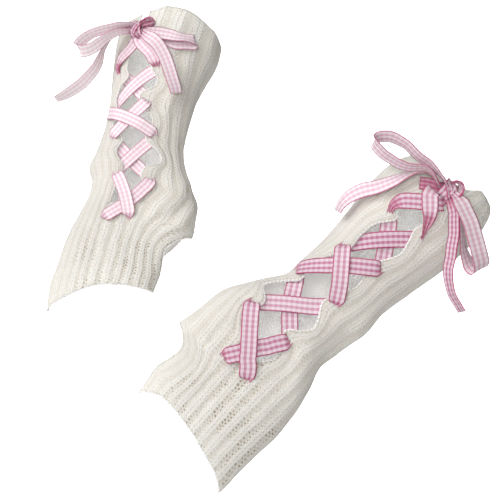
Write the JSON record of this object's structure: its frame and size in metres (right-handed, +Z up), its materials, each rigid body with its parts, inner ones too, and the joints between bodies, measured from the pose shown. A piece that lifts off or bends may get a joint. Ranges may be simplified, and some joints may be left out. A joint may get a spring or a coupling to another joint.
{
  "type": "pair of worn knitted arm warmers",
  "caption": "Pair of ribbed knitted arm warmers with thumb openings and long slits laced with gingham ribbon tied in bows, in the hollow form they have when worn.",
  "frame": {"origin": "inside the wearer's left arm warmer, on the middle line of its forearm, where the wearer's forearm holds it up", "axes": "+Z up; +X to the right as an onlooker facing the backs of both hands sees the pair; -Y towards that onlooker"},
  "size_m": [0.3527, 0.313, 0.3899],
  "materials": {
    "knit": "matte ribbed knit",
    "ribbon": "plain woven gingham"
  },
  "bodies": {
    "root": {"left_back_panel": "knit", "left_palm_panel": "knit", "left_lace_bar": "ribbon", "left_lace_1_from_finger": "ribbon", "left_lace_1_from_thumb": "ribbon", "left_lace_2_from_finger": "ribbon", "left_lace_2_from_thumb": "ribbon", "left_lace_3_from_finger": "ribbon", "left_lace_3_from_thumb": "ribbon", "left_lace_4_from_finger": "ribbon", "left_lace_4_from_thumb": "ribbon", "left_lace_5_from_finger": "ribbon", "left_lace_5_from_thumb": "ribbon", "left_bow_knot": "ribbon", "left_bow_loop_up": "ribbon", "left_bow_loop_down": "ribbon", "left_bow_tail_side": "ribbon", "left_bow_tail_down": "ribbon", "right_back_panel": "knit", "right_palm_panel": "knit", "right_lace_bar": "ribbon", "right_lace_1_from_finger": "ribbon", "right_lace_1_from_thumb": "ribbon", "right_lace_2_from_finger": "ribbon", "right_lace_2_from_thumb": "ribbon", "right_lace_3_from_finger": "ribbon", "right_lace_3_from_thumb": "ribbon", "right_lace_4_from_finger": "ribbon", "right_lace_4_from_thumb": "ribbon", "right_lace_5_from_finger": "ribbon", "right_lace_5_from_thumb": "ribbon", "right_bow_knot": "ribbon", "right_bow_loop_side": "ribbon", "right_bow_loop_flat": "ribbon", "right_bow_tail_side": "ribbon", "right_bow_tail_down": "ribbon"}
  },
  "joints": []
}
